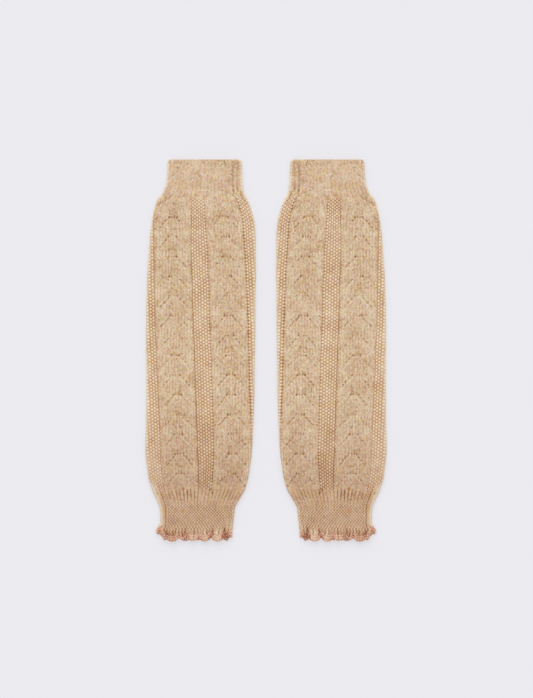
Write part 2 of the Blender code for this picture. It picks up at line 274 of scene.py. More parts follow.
# The edging's plump loops, laid like bricks.
LOOP_WIDE = 2.9
LOOP_HIGH = 2.7
LOOP_RISE = 1.5
LOOP_LEAN = 0.25
LOOP_SCALLOP = 0.8
LOOP_WANDERS = 1.2
LOWEST_LOOP = -1.2
EDGE_CURL = 1.3
STROKES = 1.5
INNER_STROKES = 1.5
STROKES_A_RIB = 1.7
OUTER_DARKER = 0.9
STRAND = 1.2
STRAND_ROW = 1.6
INNER_EDGE_SHORTER = 0.8

# Mesh steps.
STEPS_A_STITCH = 4
BACK_STEPS_A_STITCH = 2
ROWS_A_COURSE = 2
STEPS_A_RIB = 10
CUFF_ROW = 0.42
SKIN_ROWS = 8
FRILL_STEPS = ANKLE_RIBS * STEPS_A_RIB
FRILL_ROWS = 22
EDGING_ROWS = 34
UNDERLAP = 0.8
UNDERLAP_DEPTH = 0.3
UNDERLAP_STEP = 0.4
EDGE_TURN = 1.3
A_HAIR = 1e-6

# Stray fibres that stand off the wool.
FIBRES = 2400
FIBRE_THICKNESS = 0.045
FIBRE_LENGTHS = (1.2, 3)
FIBRE_RISE = 0.45
FIBRE_CURL = 0.4
FIBRE_STATIONS = 4
FIBRE_SIDES = 3
FIBRES_ON_FLAT = 0.4
LOWEST_FIBRE = 0.2

SEED = 11
NOISE_KNOTS = 256

# Floor and light. A flat white card would render at 1.
FLOOR_SIZE = 8.0
FLOOR_BELOW = 0.1
FLOOR_COLOUR = (0.838, 0.831, 0.871)
FLOOR_GLOW = 0.64
SKY_STRENGTH = 0.66
LAMP_STRENGTH = 1.35
LAMP_ANGLE = np.radians(50)
LAMP_FROM = (-0.1, 0.8, 1)

# The camera looks straight down. Sensor and lens are in its own millimetres.
CAMERA_SENSOR = 36.0
CAMERA_LENS = 98.7
CAMERA_AT = (0.52, 1.98, 2004)


def smooth(start, end, at):
    """A smooth rise from 0 at start to 1 at end."""
    t = np.clip((at - start) / (end - start), 0, 1)
    return t * t * (3.0 - 2.0 * t)


def hump(at, middle, half):
    """1 at the middle, fading to nothing about two half widths away."""
    return np.exp(-(((at - middle) / half) ** 2))


def between(start, end, at):
    """1 between two smooth steps, each given by its two ends, and 0 outside them."""
    return smooth(*start, at) * (1 - smooth(*end, at))


def per_stitch(u, v, seed):
    """A random number from -1 to 1 for each whole u and v."""
    chances = np.random.default_rng(SEED + seed).uniform(-1, 1, (NOISE_KNOTS, NOISE_KNOTS))
    return chances[np.floor(v).astype(int) % NOISE_KNOTS, np.floor(u).astype(int) % NOISE_KNOTS]


def soft_noise(x, y, seed):
    """Smooth noise from -1 to 1 whose features are about one unit across."""
    column, row = np.floor(x), np.floor(y)
    across, down = smooth(0, 1, x - column), smooth(0, 1, y - row)
    top, low = [
        per_stitch(column, at, seed) * (1 - across) + per_stitch(column + 1, at, seed) * across
        for at in (row, row + 1)
    ]
    return top * (1 - down) + low * down


def section_value(column, level):
    """One column of SECTIONS at any levels, on a smooth curve through its rows."""
    levels, values = np.array([(row[0], row[column]) for row in SECTIONS], float).T
    steps = np.diff(values) / np.diff(levels)
    before, after = steps[:-1], steps[1:]
    turning = before * after <= 0
    mean = 2 * before * after / np.where(turning, 1.0, before + after)
    slopes = np.concatenate([[0.0], np.where(turning, 0.0, mean), [0.0]])
    level = np.clip(level, levels[0], levels[-1])
    i = np.clip(np.searchsorted(levels, level, side="right") - 1, 0, len(levels) - 2)
    gap = levels[i + 1] - levels[i]
    t = (level - levels[i]) / gap
    curve = t * t * (3 - 2 * t) * (values[i + 1] - values[i])
    return values[i] + curve + t * (1 - t) * ((1 - t) * slopes[i] - t * slopes[i + 1]) * gap


def lying_height(level):
    """Height of the two layers at a level, between the cuffs' and the leg's."""
    from_cuff = np.minimum(level - TOP_CUFF_END, ANKLE_START - level)
    full = CUFF_HEIGHT + (LEG_HEIGHT - CUFF_HEIGHT) * smooth(0, HEIGHT_RISES_OVER, from_cuff)
    return full + (FRILL_HEIGHT - full) * smooth(FRILL_START - FRILL_THINS_OVER, FRILL_START, level)


class Rings:
    """Cross-sections of the flattened tube at many levels.

    A place is a distance round the tube from the middle of the front, towards the outer edge.
    """

    def __init__(self, level):
        inner = section_value(INNER, level)
        self.outer = section_value(OUTER, level)
        self.level = level
        self.middle = (inner + self.outer) / 2
        self.width = self.outer - inner
        self.radius = lying_height(level) / 2
        self.flat = self.width / 2 - self.radius
        self.edge = self.flat + 2 * self.radius
        self.pitch = self.width / STITCHES_ACROSS
        self.shift = section_value(COLUMN, level) - self.middle

    def at(self, share):
        """The place at a share of the way round, from the middle of the back."""
        return (share - 0.5) * 2 * self.width

    def wrapped(self, place):
        """The same place as a distance of at most half way round."""
        return (place + self.width) % (2 * self.width) - self.width

    def angle(self, place):
        """How far round a fold a place is: 0 on the front, pi on the back."""
        past = np.abs(self.wrapped(place)) - self.flat
        return np.clip(past / (2 * self.radius), 0, 1) * np.pi

    def from_mirror(self, place, out):
        """Distance from the mirror plane; out is the distance from the middle on the front."""
        on_back = self.flat + self.edge - np.abs(place)
        return self.middle + np.sign(place) * np.where(np.abs(place) > self.edge, on_back, out)

    def points(self, place, relief, inset, lift):
        """(distance from the mirror plane, distance from the top, height) of each place."""
        place = self.wrapped(place)
        angle = self.angle(place)
        back = (1 - np.cos(angle)) / 2
        reach = self.radius - inset - PEAK * back + relief
        out = np.minimum(np.abs(place), self.flat) + reach * np.sin(angle)
        near_edge = np.clip(np.abs(place) / self.edge, 0, 1) ** 4
        rise = (lift + CROWN * (0.3 - near_edge)) * (1 - back)
        height = self.radius + reach * np.cos(angle) + rise
        level = np.broadcast_to(self.level, height.shape)
        return np.stack([self.from_mirror(place, out), level, height], axis=-1)

    def on_front(self, place):
        """1 on the front, fading to 0 round the folds."""
        return 1 - smooth(0.35 * np.pi, 0.65 * np.pi, self.angle(place))

    def across(self, place):
        """Distance from the mirror plane, on the front and on the back alike."""
        place = self.wrapped(place)
        return self.from_mirror(place, np.abs(place))


def stitch_lines():
    """The stitch number of each line of points round the leg, close on the front."""
    first, last = FRONT_STITCHES
    front = np.arange(first, last + A_HAIR, 1 / STEPS_A_STITCH)
    back = np.arange(last, first + 2 * STITCHES_ACROSS - A_HAIR, 1 / BACK_STEPS_A_STITCH)
    return np.concatenate([front, back[1:]])


def from_column(u):
    """Stitches from the middle of the nearest seed-stitch column, above 0 towards the outer edge."""
    return (u + REPEAT / 2) % REPEAT - REPEAT / 2


def drawn_in(u, level):
    """Stitch numbers as they lie: the columns are drawn in and the panels are spread."""
    widest = between(COLUMNS_WIDEN, COLUMNS_NARROW, level)
    share = ENDS_DRAWN_IN + (COLUMN_DRAWN_IN - ENDS_DRAWN_IN) * widest
    aside = from_column(u)
    spread = (REPEAT / 2 - share * COLUMN_HALF) / (REPEAT / 2 - COLUMN_HALF)
    past = np.maximum(np.abs(aside) - COLUMN_HALF, 0.0)
    lies = np.minimum(np.abs(aside), COLUMN_HALF) * share + past * spread
    return u - aside + np.sign(aside) * lies


def seed_stitch(u, v):
    """Round beads, each in the gap between its neighbours, with low yarn round them that the wool
    paints with shade.
    """
    aside = np.abs((u + 0.5) % 2 - 1)
    below = np.abs((v + 1) % 2 - 1)
    one = np.hypot(aside * STITCH, below * COURSE)
    other = np.hypot((1 - aside) * STITCH, (1 - below) * COURSE)
    share = np.clip(np.minimum(one, other) / BEAD_REACH, 0, 1)
    strength = 1 + 0.25 * per_stitch(u, v + 0.5, 1)
    return (BEAD_RISE * (1 - share**2) - BEAD_GAP * share) * strength


def stocking_stitch(u, v):
    """Plain knitting: two slanting yarns a stitch, with a furrow between stitches."""
    aside = np.abs(u % 1 - 0.5)
    legs = 0.5 - 0.5 * np.cos(2 * np.pi * (2 * aside))
    furrow = np.cos(np.pi * aside) ** 2
    course = np.cos(2 * np.pi * (v + 1.2 * aside))
    strength = 1 + 0.5 * per_stitch(u, v, 2)
    return (WALE_RISE * (0.6 * furrow + 0.4 * legs - 0.5) + COURSE_RISE * course) * strength


def lace(u, down, uneven):
    """Relief and painted shade of the arches; down is in courses from the first arch's top."""
    aside = (u % REPEAT) - REPEAT / 2
    out = np.abs(aside)
    arch = np.clip(np.round((down - 4) / ARCH_COURSES), 0, ARCHES - 1)
    below = down - arch * ARCH_COURSES
    arm_number = 4 * np.floor(u / REPEAT) + 2 * (aside > 0)
    likely = 0.85 + 0.25 * per_stitch(arm_number, arch, 51)
    wander = ARM_WANDERS * soft_noise(u / 2.0, down / 3.0, 52)
    from_arm = out - ARM_START - ARM_SLOPE * below - wander
    on_arm = between((-0.8, 0.2), (ARM_COURSES - 1.5, ARM_COURSES + 1), below)
    holes = 0.5 + 0.5 * np.cos(np.pi * below)
    strength = np.clip(likely + 0.6 * uneven, 0.0, 1.3) * on_arm
    arm = hump(from_arm, 0, ARM_HALF) * strength * holes
    ridge = (hump(from_arm, -0.75, 0.4) + 0.5 * hump(from_arm, 0.8, 0.45)) * strength
    top_holes = 0.5 - 0.5 * np.cos(2 * np.pi * out / TOP_HOLE_STEP)
    on_top = (1 - smooth(1.5 * TOP_HOLE_STEP, 2 * TOP_HOLE_STEP, out)) * hump(below, -0.2, 0.6)
    arm = arm + TOP_HOLES * on_top * top_holes * np.clip(0.7 + uneven, 0, 1)
    from_roof = (down + ROOF_ABOVE + ARCH_COURSES / 2) % ARCH_COURSES - ARCH_COURSES / 2
    roofed = np.clip(0.4 + 0.9 * uneven, 0, 1) * (1 - smooth(ROOF_HALF, ROOF_HALF + 0.3, out))
    roof = hump(from_roof, 0, 0.45) * roofed + 0.6 * hump(from_roof, 2.4, 0.45) * roofed
    on_side = between((-0.4, 0.4), (3.6, 4.6), from_roof)
    sides = hump(out, ROOF_HALF, 0.25) * on_side * np.clip(0.3 + 0.8 * uneven, 0.0, 0.8)
    puff = hump(out, 5.0, 1.2) * hump(from_roof, 2.6, 2.2)
    furrow = arm + 0.5 * roof + 0.5 * sides
    rise = 0.3 * ridge + 0.3 * puff - HOLE_DEPTH * furrow
    # Painted shade in the holes and furrows, painted highlight on the ridges and puffs.
    return rise, 0.35 * ridge + 0.4 * puff - HOLE_SHADE * furrow


def rib_knit(u, v):
    """Relief of 1x1 rib; u counts ribs."""
    aside = np.abs(u % 1 - 0.5)
    ridge = 1 - (2 * aside) ** 2.5
    legs = hump(aside, 0.16, 0.09)
    course = np.cos(2 * np.pi * (v + 1.3 * aside))
    strength = 1 + 0.2 * per_stitch(u, v, 3)
    return (RIB_RISE * (ridge - 0.6) + 0.12 * legs + 0.1 * course) * strength


def creases(across, level):
    """Relief and painted shade of the folds, relief and darkness of the spots, and how golden the
    wool is there.
    """
    rise, shade, gold = np.zeros((3, *np.broadcast(across, level).shape))
    for top, across_top, bottom, across_bottom, depth, half_width, darkness in FOLDS:
        run = across_bottom - across_top
        drop = bottom - top
        along = (across - across_top) * run + (level - top) * drop
        t = np.clip(along / (run * run + drop * drop), 0, 1)
        trough = hump(np.hypot(across - across_top - t * run, level - top - t * drop), 0, half_width)
        rise -= depth * trough
        # Painted shade in the furrow.
        shade -= darkness * trough
    for from_top, from_mirror, half_width, darkness, golden in SPOTS:
        mark = hump(np.hypot(across - from_mirror, level - from_top), 0, half_width)
        rise -= SPOT_DEPTH * darkness * mark
        shade -= darkness * mark
        gold += golden * mark
    return rise, shade, gold


def gathered(across, level):
    """How many times deeper than plain rib the cuff's furrows are at a point."""
    deeper = sum(more * hump(across, middle, 0.7 * half) for middle, half, more in ANKLE_GATHERS)
    return 1 + deeper * between(GATHERS_START, GATHERS_END, level)


def seam(ring, place):
    """Relief and shade of the seam's ladder, and how far a point is on its smooth strip."""
    inside = np.interp(ring.level, SEAM_LEVELS, SEAM_INSIDE)
    present = smooth(*SEAM_STARTS, ring.level)
    from_line = ring.across(place) - (ring.outer - inside)
    rungs = 0.5 + 0.5 * np.cos(2 * np.pi * ring.level / SEAM_STITCH)
    line = hump(from_line, 0, 0.6) * (0.6 + 0.4 * rungs)
    line = line + 0.6 * hump(from_line, -SEAM_WIDE, 0.5) * rungs
    ladder = hump(from_line, -SEAM_WIDE / 2, 0.6) * (1 - rungs)
    strip = smooth(0.4, 1.6, from_line) * present
    # A pale strip, with a painted highlight growing towards the fold.
    lit = strip * (0.2 + 1.6 * smooth(0.35, 0.8, from_line / inside))
    return (0.2 * ladder - 0.5 * line) * present, lit + (1.5 * ladder - 2.0 * line) * present, strip


def leg_knit(u, v, ring, place):
    """Relief in millimetres and the values that the wool reads, all over the leg."""
    level = ring.level
    aside = from_column(u)
    columns = between(COLUMNS_START, COLUMNS_END, level)
    in_column = (np.abs(aside) < COLUMN_HALF + 0.01) * columns
    seeded = in_column * smooth(*BEADS_START, level)
    near_ankle = smooth(*RIBS_GROW_ABOVE, level)
    ribbed = 1 - smooth(*RIBS_FADE_BELOW, level) + near_ankle * (1 - 0.5 * in_column)
    upper = level < LENGTH / 2
    rib_u = np.where(upper, TOP_RIBS, ANKLE_RIBS) * (place / (2 * ring.width) + 0.5)
    rib_v = (level - np.where(upper, 0.0, ANKLE_START)) / RIB_COURSE
    deeper = gathered(ring.across(place), level)
    laced = between(LACE_STARTS, LACE_ENDS, level)
    lace_rise, lace_shade = lace(u, (level - FIRST_ARCH) / COURSE, soft_noise(u / 1.2, v / 2.0, 8))
    plain = stocking_stitch(u, v) + lace_rise * laced
    knit = plain * (1 - ribbed) + rib_knit(rib_u, rib_v) * deeper * ribbed
    dotted = 0.5 + 0.5 * np.cos(np.pi * v) + 0.3 * soft_noise(u / 9, v / 4, 9)
    groove = hump(np.abs(aside), COLUMN_HALF + 0.1, GROOVE_HALF) * columns * dotted
    groove = groove * np.where(aside > 0, 1.0, INWARD_GROOVE)
    rise = seeded * (seed_stitch(u, v) + 0.1) + (1 - seeded) * knit - GROOVE_DEPTH * groove
    paler = LOW_MIDDLE_BEADS * hump(u, 0, REPEAT / 2) + LOW_OUTER_BEADS * hump(u, REPEAT, REPEAT / 2)
    # The lace's painted shade and highlight, and painted shade in the grooves beside the columns.
    shade = (1 - in_column) * (1 - ribbed) * lace_shade * laced - GROOVE_SHADE * groove
    shade = shade + paler * seeded * smooth(*LOW_BEADS, level)
    values = {"seed": seeded, "ribbed": ribbed * (1 - seeded), "deeper": (deeper - 1) * ribbed}
    return rise, shade, values, rib_u, rib_v


def dressed(ring, place, rise, shade, values, seamed=1.0):
    """Adds the folds, the spots and the seam to a piece's knitting."""
    on_front = ring.on_front(place)
    fold_rise, fold_shade, gold = creases(ring.across(place), ring.level)
    seam_rise, seam_shade, strip = [seamed * part for part in seam(ring, place)]
    rise = rise * (1 - 0.5 * strip) + (fold_rise + seam_rise) * on_front
    turning = np.sin(ring.angle(place)) * on_front
    # The folds' painted shade, the seam's lines and pale strip, and a painted highlight round the
    # side folds.
    values["shade"] = shade + (fold_shade + seam_shade) * on_front + PAINTED_EDGE_HIGHLIGHT * turning
    values["gold"] = gold * on_front
    values["smooth"] = np.maximum(strip, EDGE_SMOOTHER * turning) * on_front
    values["ankle"] = smooth(*ANKLE_TINT_GROWS, ring.level)
    values["pale"] = 1 - smooth(*CUFF_TINT_FADES, ring.level)
    return rise, {key: np.broadcast_to(value, rise.shape) for key, value in values.items()}


def grid_faces(rows, columns):
    """Corner indices of the faces of a grid that closes on itself across."""
    row, column = np.meshgrid(np.arange(rows - 1), np.arange(columns), indexing="ij")
    following = (column + 1) % columns
    corners = [row * columns + column, (row + 1) * columns + column]
    corners += [(row + 1) * columns + following, row * columns + following]
    return np.stack(corners, axis=-1).reshape(-1, 4)


def linked(name, data):
    """A new object in the scene."""
    thing = bpy.data.objects.new(name, data)
    bpy.context.scene.collection.objects.link(thing)
    return thing


def add_piece(name, points, faces, side, material):
    """A smooth mesh that rides the root. Its points come in millimetres across, down and up."""
    across, down, up = points[..., 0], points[..., 1], points[..., 2]
    placed = np.stack([side * across, LENGTH / 2 - down, up], axis=-1) * MM
    outward = [corners for part in faces for corners in part[:, ::-side].tolist()]
    mesh = bpy.data.meshes.new(name)
    mesh.from_pydata(placed.reshape(-1, 3).tolist(), [], outward)
    mesh.materials.append(material)
    mesh.shade_smooth()
    piece = linked(name, mesh)
    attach(piece, "root")
    return piece


Skins = namedtuple("Skins", "outer inner values maps")


def shell(name, skins, side, material):
    """A closed wall: its outer skin from the top down, then its inner skin back up."""
    points = np.concatenate([skins.outer, skins.inner[::-1]])
    rows, columns = points.shape[:2]
    last = np.arange(columns)
    following = (last + 1) % columns
    bottom = (rows - 1) * columns
    closing = np.stack([bottom + last, last, following, bottom + following], axis=-1)
    piece = add_piece(name, points, [grid_faces(rows, columns), closing], side, material)
    mesh = piece.data
    rest = np.zeros(skins.inner.shape[:2])
    for key, value in skins.values.items():
        layer = mesh.attributes.new(key, "FLOAT", "POINT")
        layer.data.foreach_set("value", np.concatenate([value, rest]).astype(np.float32).ravel())
    add_maps(mesh, rows, columns, skins.maps)
    outer_rows = skins.outer.shape[0]
    sharpen_rims(mesh, columns, (0, outer_rows - 1, outer_rows, rows - 1))
    return piece


def sharpen_rims(mesh, columns, rims):
    """Shades the wall's two ends apart from its skins."""
    ends = np.empty(2 * len(mesh.edges), np.int32)
    mesh.edges.foreach_get("vertices", ends)
    row = (ends // columns).reshape(-1, 2)
    sharp = (row[:, 0] == row[:, 1]) & np.isin(row[:, 0], rims)
    mesh.attributes.new("sharp_edge", "BOOLEAN", "EDGE").data.foreach_set("value", sharp)


def add_maps(mesh, rows, columns, maps):
    """Adds the bake map and the wool's maps, counted on past the wrap at each face corner.

    The bake map unrolls the shell: round it along U, down the outside and up the inside along V.
    The turn of another map is what its u grows by once round the tube.
    """
    vertex = np.empty(len(mesh.loops), np.int32)
    mesh.loops.foreach_get("vertex_index", vertex)
    column = (vertex % columns).reshape(-1, 4)
    row = (vertex // columns).reshape(-1, 4)
    wraps = (column.max(1) - column.min(1)) > columns / 2
    closes = (row.max(1) - row.min(1)) > rows / 2
    turned = (wraps[:, None] & (column == 0)).ravel()
    around = np.where(turned, columns, column.ravel())
    along = np.where(closes[:, None] & (row == 0), rows, row).ravel()
    pairs = {"OFBake": (around / columns, along / rows)}
    for key, (u, v, turn) in maps.items():
        at = (np.minimum(along, u.shape[0] - 1), around % columns)
        pairs[key] = (u[at] + np.broadcast_to(turn, u.shape)[at] * turned, v[at])
    for key, pair in pairs.items():
        layer = mesh.uv_layers.new(name=key)
        layer.uv.foreach_set("vector", np.stack(pair, axis=-1).astype(np.float32).ravel())


def skins_of(ring, place, rise, lift, wall, values, maps, inner_ring, inner_place):
    """Both skins of a wall. Its outer one has the relief, and its inner one is smooth."""
    most = PEAK + (HIGHEST - PEAK) * (1 + np.cos(ring.angle(place))) / 2
    outer = ring.points(place, np.clip(rise, DEEPEST, most), 0.0, lift)
    still = np.zeros(np.broadcast(inner_place, inner_ring.level).shape)
    inner = inner_ring.points(inner_place, still, wall - PEAK / 2, 0.0)
    for key, (u, v, turn) in maps.items():
        maps[key] = (np.broadcast_to(u, rise.shape), np.broadcast_to(v, rise.shape), turn)
    return Skins(outer, inner, values, maps)


def few_rings(level):
    """The rows of a smooth inner skin."""
    return Rings(level[np.linspace(0, len(level) - 1, SKIN_ROWS).astype(int)])


def turned_in(from_edge):
    """How far a rounded rim is turned in: 1 at the edge, and 0 from EDGE_TURN on."""
    return 1 - np.sqrt(1 - np.clip(1 - from_edge / EDGE_TURN, 0, 1) ** 2)


def leg_skins():
    """The patterned tube between the cuffs."""
    rows = int(round((ANKLE_START - TOP_CUFF_END) / COURSE * ROWS_A_COURSE))
    level = np.linspace(TOP_CUFF_END, ANKLE_START, rows + 1)[:, None]
    u = stitch_lines()[None, :]
    v = (level - TOP_CUFF_END) / COURSE
    ring = Rings(level)
    wander = WANDER * soft_noise(u / 2.5, v / 9, 4)
    place = ring.shift + (drawn_in(u, level) + wander) * ring.pitch
    rise, shade, values, rib_u, rib_v = leg_knit(u, v, ring, place)
    rise, values = dressed(ring, place, rise, shade, values)
    lift = UNEVEN_LIFT * soft_noise(u / 7, v / 14, 5) * between(UNEVEN_STARTS, UNEVEN_ENDS, level)
    maps = {
        "stitches": (u, v, 2 * STITCHES_ACROSS),
        "ribs": (rib_u, rib_v, np.where(level < LENGTH / 2, TOP_RIBS, ANKLE_RIBS)),
    }
    inner = few_rings(level)
    inner_place = inner.shift + drawn_in(u, inner.level) * inner.pitch
    return skins_of(ring, place, rise, lift, LEG_WALL, values, maps, inner, inner_place)


def ankle_knit(u, v, level, deeper):
    """Relief and the values that the wool reads of the ankle's rib, which turns into small dots."""
    dotted = smooth(*ANKLE_DOTS_START, level + 4 * soft_noise(u / 6, v / 5, 61))
    rise = rib_knit(u, v) * deeper * (1 - 0.5 * dotted) + DOT_SHARE * dotted * seed_stitch(2 * u, v)
    ribbed = 1 - DOT_SHARE * dotted
    return rise, {"seed": dotted, "ribbed": ribbed, "deeper": deeper - 1 + ANKLE_DARKER_RIBS}


def rib_maps(u, v, ribs):
    """The wool's two maps on rib, two stitches to a rib."""
    return {"stitches": (2 * u, v, 2 * ribs), "ribs": (u, v, ribs)}


def cuff_grid(first, final, start, ribs):
    """Rings, places, ribs and courses of a cuff, whose courses are counted from a start."""
    rows = int(round((final - first) / CUFF_ROW))
    ring = Rings(np.linspace(first, final, rows + 1)[:, None])
    u = (np.arange(ribs * STEPS_A_RIB) / STEPS_A_RIB)[None, :]
    return ring, ring.at(u / ribs), u, (ring.level - start) / RIB_COURSE


def cuff_skins(ring, place, rise, values, u, v, ribs):
    """Both skins of a cuff."""
    maps = rib_maps(u, v, ribs)
    inner = few_rings(ring.level)
    return skins_of(ring, place, rise, 0.0, RIB_WALL, values, maps, inner, inner.at(u / ribs))


def top_cuff_skins():
    """The top cuff, with ribs faint half way down, a turned edge, and rows on under the leg."""
    ring, place, u, v = cuff_grid(0.0, TOP_CUFF_END + UNDERLAP, 0.0, TOP_RIBS)
    level = ring.level
    fainter = RIB_FAINT * hump(level, RIB_FAINT_AT, RIB_FAINT_AT)
    values = {"seed": 0.0, "ribbed": 1.0, "deeper": -fainter}
    first_row = hump(level, FIRST_ROW, 0.7) * (1 - hump(u % 1, 0.5, 0.3))
    rise = rib_knit(u, v) * (1 - fainter) - FIRST_ROW_DEPTH * first_row
    rise, values = dressed(ring, place, rise, -FIRST_ROW_SHADE * first_row, values)
    rise = rise - turned_in(level) * (EDGE_TURN + rise)
    rise = rise - UNDERLAP_DEPTH * smooth(TOP_CUFF_END, TOP_CUFF_END + UNDERLAP_STEP, level)
    return cuff_skins(ring, place, rise, values, u, v, TOP_RIBS)


def ankle_cuff_skins():
    """The ankle cuff and its first rows, which lie under the leg."""
    first = ANKLE_START - UNDERLAP
    ring, place, u, v = cuff_grid(first, FRILL_START, ANKLE_START, ANKLE_RIBS)
    level = ring.level
    rise, values = ankle_knit(u, v, level, gathered(ring.across(place), level))
    rise, values = dressed(ring, place, rise, 0.0, values)
    under = 1 - smooth(ANKLE_START - UNDERLAP_STEP, ANKLE_START, level)
    rise = rise - UNDERLAP_DEPTH * under
    return cuff_skins(ring, place, rise, values, u, v, ANKLE_RIBS)


Waves = namedtuple("Waves", "rise start reach tone")


def frill_waves(last, along):
    """Each place's wave, where its edging starts, how far it reaches and its tone."""
    on_back = np.abs(along) > last.edge
    front = np.where(on_back, np.sign(along) * (last.edge + last.flat) - along, along)
    within = np.clip(front, -last.flat, last.flat)
    across = last.middle + np.where(on_back, -within, within)
    rise, tone = np.zeros((2, *across.shape))
    reach = np.full_like(across, VALLEY_REACH)
    for middle, half_width, tip, paler in WAVES:
        crest = np.cos(np.clip(np.abs(across - middle) / half_width, 0, 1) * np.pi / 2)
        tone = tone + paler * crest
        rise = np.maximum(rise, crest)
        reach = np.maximum(reach, VALLEY_REACH + (tip - VALLEY_REACH) * crest**TIP_ROUNDNESS)
    rise = rise * (1 - smooth(last.flat - WAVE_FADES_OVER, last.flat, np.abs(front)))
    lap = smooth(last.flat - OUTER_LAP, last.flat, front)
    inner_lap = smooth(last.flat - OUTER_LAP / 2, last.flat, -front)
    start = EDGING_START + EDGING_SCALLOP * rise
    start = start - INNER_VALLEYS_RISE * (1 - rise) * smooth(*INNER_VALLEYS, across)
    start = start + (OUTER_EDGING_START - start) * lap
    reach = reach + (OUTER_REACH - reach) * lap + (INNER_REACH - reach) * inner_lap
    return Waves(rise, start, reach, tone - OUTER_DARKER * lap)


def frill_grid(rows):
    """Shares round and down a piece of the frill, the ring at its edging, and its waves."""
    share = (np.arange(FRILL_STEPS) / FRILL_STEPS)[None, :]
    down = np.linspace(0, 1, rows)[:, None]
    last = Rings(np.float64(EDGING_START))
    return share, down, last, frill_waves(last, last.at(share))


def edge_strokes(share, ring, place):
    """Shade of the uneven pale and dark ribs near the edge, stronger in the inner half."""
    strength = STROKES + INNER_STROKES * smooth(*INNER_VALLEYS, ring.across(place))
    return strength * soft_noise(share * ANKLE_RIBS * STROKES_A_RIB, ring.level / 9, 41)


def waved_skins(ring, share, rise, waves, values, maps, inner_level):
    """Both skins of a piece of the frill, whose waves lift the outer and the inner alike."""
    place = ring.at(share)
    lift = WAVE_LIFT * waves.rise * smooth(FRILL_START, EDGING_START + EDGING_SCALLOP, ring.level)
    inner = Rings(inner_level)
    skins = skins_of(ring, place, rise, lift, FRILL_WALL, values, maps, inner, inner.at(share))
    front = ring.on_front(place)[[0, -1]] > 0.5
    skins.inner[:, :, 2] += np.where(front, lift[[0, -1]], 0.0)
    return skins


def frill_skins():
    """The flared rows below the ankle cuff, waved more and more towards the edging."""
    share, down, _, waves = frill_grid(FRILL_ROWS)
    ring = Rings(FRILL_START + (waves.start - FRILL_START) * down)
    level = ring.level
    place = ring.at(share)
    u = share * ANKLE_RIBS
    v = (level - ANKLE_START) / RIB_COURSE
    rise, values = ankle_knit(u, v, level, 1 + down)
    values["ribbed"] = values["ribbed"] * (1 - down) + down
    strokes = edge_strokes(share, ring, place) * smooth(0.1, 0.9, down)
    # Painted shade in the waves' valleys and painted highlight on their crests; the streaks are the
    # yarn's own.
    shade = (0.35 * (waves.rise - 0.5) + strokes) * down
    rise, values = dressed(ring, place, rise, shade, values)
    maps = rib_maps(u, v, ANKLE_RIBS)
    return waved_skins(ring, share, rise, waves, values, maps, level[[0, -1]])


def loop_at(along, up):
    """Which loop and row a point of the edging is in, how far aside, and how far up it."""
    up = up + LOOP_WANDERS * soft_noise(along / 6, 0 * along, 34)
    row = np.floor(up / LOOP_HIGH)
    uneven = 0.25 * soft_noise(along / 9, row * 3.1, 31)
    loop = along / LOOP_WIDE + 0.5 * row + LOOP_LEAN * up / LOOP_HIGH + uneven
    return loop, row, np.abs(loop % 1 - 0.5) * 2, up / LOOP_HIGH - row


def loops(along, up):
    """Plump loops of the edging: along it and up from its lower edge, in millimetres."""
    loop, row, aside, high = loop_at(along, up)
    plump = np.sqrt(np.clip(1 - aside**2, 0, 1)) * np.sqrt(np.sin(np.pi * np.clip(high, 0.02, 0.98)))
    return plump * (1 + 0.2 * per_stitch(loop, row, 33))


def edging_skins():
    """The terracotta rows, with a scalloped rim that curls under."""
    share, down, last, waves = frill_grid(EDGING_ROWS)
    along = last.at(share)
    aside = loop_at(along, 0.5 * LOOP_HIGH)[2]
    reach = waves.reach + LOOP_SCALLOP * (0.4 - aside**2)
    ring = Rings(waves.start + (reach - waves.start) * down)
    level = ring.level
    place = ring.at(share)
    up = reach - level
    plump = loops(along, up + LOOP_HIGH / 2)
    strokes = edge_strokes(share, ring, place) * (1 - 0.7 * down)
    # Painted highlight on the loops, painted shade between them and in the valleys; the waves' tone
    # and the streaks are the yarn's own.
    shade = 1.6 * (plump - 0.3) + 0.5 * (waves.rise - 0.6) + waves.tone + strokes
    values = {"seed": 0.0, "ribbed": 0.0, "deeper": 0.0}
    rise = LOOP_RISE * (plump - 0.45)
    rise, values = dressed(ring, place, rise, shade, values, seamed=0.0)
    turn_in = turned_in(up)
    rise = np.clip(rise, LOWEST_LOOP, HIGHEST) * (1 - 0.6 * turn_in) - turn_in * EDGE_CURL
    strand = (along / STRAND, up / STRAND_ROW)
    maps = {"stitches": (*strand, 2 * last.width / STRAND), "ribs": (*strand, 1.0)}
    inner_level = np.concatenate([level[[0]], level[[-1]] - INNER_EDGE_SHORTER])
    return waved_skins(ring, share, rise, waves, values, maps, inner_level)


def fibre_roots(skins_list):
    """Places on the skins and their outward directions, fewer where the cloth lies flat."""
    random = np.random.default_rng(SEED + 71)
    places, normals = [], []
    for skins in skins_list:
        grid = skins.outer[1:-1]
        across = np.roll(grid, -1, axis=1) - np.roll(grid, 1, axis=1)
        normal = np.cross(across, np.gradient(grid, axis=0))
        from_middle = grid - grid.mean(axis=1, keepdims=True)
        normal *= np.sign((normal * from_middle).sum(axis=-1, keepdims=True))
        places.append(grid.reshape(-1, 3))
        normals.append(normal.reshape(-1, 3))
    places = np.concatenate(places)
    normals = np.concatenate(normals)
    area = np.linalg.norm(normals, axis=1)
    normals /= np.maximum(area, 1e-9)[:, None]
    chance = area * np.where(normals[:, 2] > 0.6, FIBRES_ON_FLAT, 1.0) * (normals[:, 2] > -0.3)
    chosen = random.choice(len(places), FIBRES, p=chance / chance.sum())
    return np.stack([places[chosen], normals[chosen]], axis=1)


